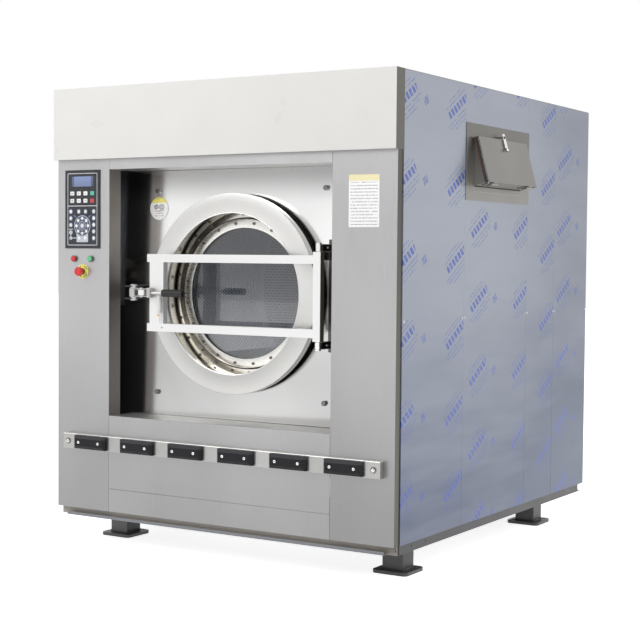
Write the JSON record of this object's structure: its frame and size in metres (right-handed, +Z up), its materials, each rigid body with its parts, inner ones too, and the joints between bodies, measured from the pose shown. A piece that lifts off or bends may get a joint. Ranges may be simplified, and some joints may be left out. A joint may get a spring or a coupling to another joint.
{
  "type": "industrial washing machine",
  "caption": "Large front-loading washer-extractor: steel cabinet, dished glass door with yoke and lever lock, drum in a sprung tub, side powder hopper.",
  "frame": {"origin": "centre of the anchor-hole pattern of the four feet, on the floor", "axes": "+Z up, +Y from the door side into the machine, +X to the right as seen from the door side"},
  "size_m": [1.8354, 2.1233, 2.05],
  "materials": {
    "dark_base": "satin",
    "frame_paint": "satin",
    "panel_steel": "brushed",
    "header_white": "satin",
    "rear_steel": "brushed",
    "filmed_steel": "film covered",
    "bare_steel": "brushed",
    "black_rubber": "matte",
    "seal_rubber": "matte",
    "red_rubber": "matte",
    "black_plastic": "gloss",
    "steel_plastic": "satin",
    "yellow_plastic": "satin",
    "red_plastic": "gloss",
    "green_plastic": "gloss",
    "polished_steel": "polished",
    "chrome": "polished",
    "black_steel": "satin",
    "cast": "painted",
    "motor_paint": "satin",
    "glass": "clear",
    "bearing_steel": "ground",
    "brass_pipe": "satin",
    "grey_plastic": "satin",
    "yoke_steel": "satin",
    "white_plastic": "satin"
  },
  "bodies": {
    "cabinet": {"feet": "dark_base", "base_rails": "dark_base", "inner_frame": "frame_paint", "pillar_left": "panel_steel", "pillar_right": "panel_steel", "header_panel": "header_white", "front_panels": "panel_steel", "top_panel": "rear_steel", "rear_panel": "rear_steel", "hopper_panel": "filmed_steel", "right_panels": "filmed_steel", "left_panels": "rear_steel", "bumper_rail": "bare_steel", "bumper_pads": "black_rubber", "control_bezel": "black_plastic", "button_housings": "steel_plastic", "estop_plate": "yellow_plastic", "hopper_frame": "bare_steel", "hopper_box": "bare_steel", "lid_gasket": "red_rubber", "filler_hose": "black_rubber", "electric_box": "frame_paint", "supply_inlets": "brass_pipe", "drain_pipe": "grey_plastic", "damper_cylinders": "black_steel", "suspension_springs": "black_rubber"},
    "suspended_tub": {"tub_shell": "polished_steel", "tub_front_plate": "polished_steel", "lock_keeper": "black_steel", "hinge_arms": "black_steel", "hinge_pins": "chrome", "tub_cradle": "frame_paint", "damper_rods": "chrome", "bearing_housing": "cast", "shaft_bearings": "bearing_steel", "drive_motor": "motor_paint", "drive_belts": "black_rubber", "drain_valve": "grey_plastic"},
    "drum": {"drum_shell": "polished_steel", "drum_lifters": "polished_steel", "main_shaft": "bearing_steel", "drum_pulley": "cast"},
    "motor_rotor": {"motor_pulley": "cast"},
    "door": {"door_ring": "polished_steel", "door_gasket": "seal_rubber", "glass_seal": "seal_rubber", "door_glass": "glass", "clamp_ring": "polished_steel", "clamp_bolts": "chrome", "yoke": "yoke_steel", "lock_sensor": "white_plastic"},
    "lever": {"lock_lever": "chrome", "lock_rollers": "chrome", "lever_grip": "black_rubber"},
    "lid": {"hopper_lid": "bare_steel"},
    "latch": {"lid_latch": "chrome"},
    "start": {"start_button": "green_plastic"},
    "stop": {"stop_button": "red_plastic"},
    "estop_slide": {"estop_stem": "black_plastic"},
    "estop_head": {"estop_mushroom": "red_plastic"}
  },
  "joints": [
    {"name": "tub_float", "type": "slide", "parent": "cabinet", "child": "suspended_tub", "axis": [0, 0, 1], "range_m": [-0.012, 0.012], "stiffness_N_per_m": 1200000, "springref_m": 0.0103, "deforming": ["suspension_springs"]},
    {"name": "drum_spin", "type": "hinge", "parent": "suspended_tub", "child": "drum", "pos_m": [0, 0, 1.147], "axis": [0, 1, 0], "continuous": true},
    {"name": "motor_spin", "type": "hinge", "parent": "suspended_tub", "child": "motor_rotor", "pos_m": [-0.4, 0, 0.64], "axis": [0, 1, 0], "continuous": true},
    {"name": "door_hinge", "type": "hinge", "parent": "suspended_tub", "child": "door", "pos_m": [0.494, -0.9495, 1.147], "axis": [0, 0, 1], "range_deg": [0, 120]},
    {"name": "lever_turn", "type": "hinge", "parent": "door", "child": "lever", "pos_m": [-0.396, -0.9845, 1.147], "axis": [0, 0, -1], "range_deg": [0, 75]},
    {"name": "lid_hinge", "type": "hinge", "parent": "cabinet", "child": "lid", "pos_m": [0.94719, -0.067, 1.62834], "axis": [0, 1, 0], "range_deg": [0, 110]},
    {"name": "latch_hinge", "type": "hinge", "parent": "lid", "child": "latch", "pos_m": [0.92098, -0.067, 1.788], "axis": [0, 1, 0], "range_deg": [0, 90]},
    {"name": "start_push", "type": "slide", "parent": "cabinet", "child": "start", "axis": [0, 1, 0], "range_m": [0, 0.004], "stiffness_N_per_m": 500, "springref_m": -0.004},
    {"name": "stop_push", "type": "slide", "parent": "cabinet", "child": "stop", "axis": [0, 1, 0], "range_m": [0, 0.004], "stiffness_N_per_m": 500, "springref_m": -0.004},
    {"name": "estop_push", "type": "slide", "parent": "cabinet", "child": "estop_slide", "axis": [0, 1, 0], "range_m": [0, 0.006], "stiffness_N_per_m": 1200, "springref_m": -0.006},
    {"name": "estop_twist", "type": "hinge", "parent": "estop_slide", "child": "estop_head", "pos_m": [-0.728, -1.0065, 1.235], "axis": [0, 1, 0], "range_deg": [0, 35], "stiffness_Nm_per_rad": 0.06, "springref_deg": -11.46}
  ],
  "couplings": [
    {"joint": "motor_spin", "follows": "drum_spin", "ratio": 4.5333}
  ]
}
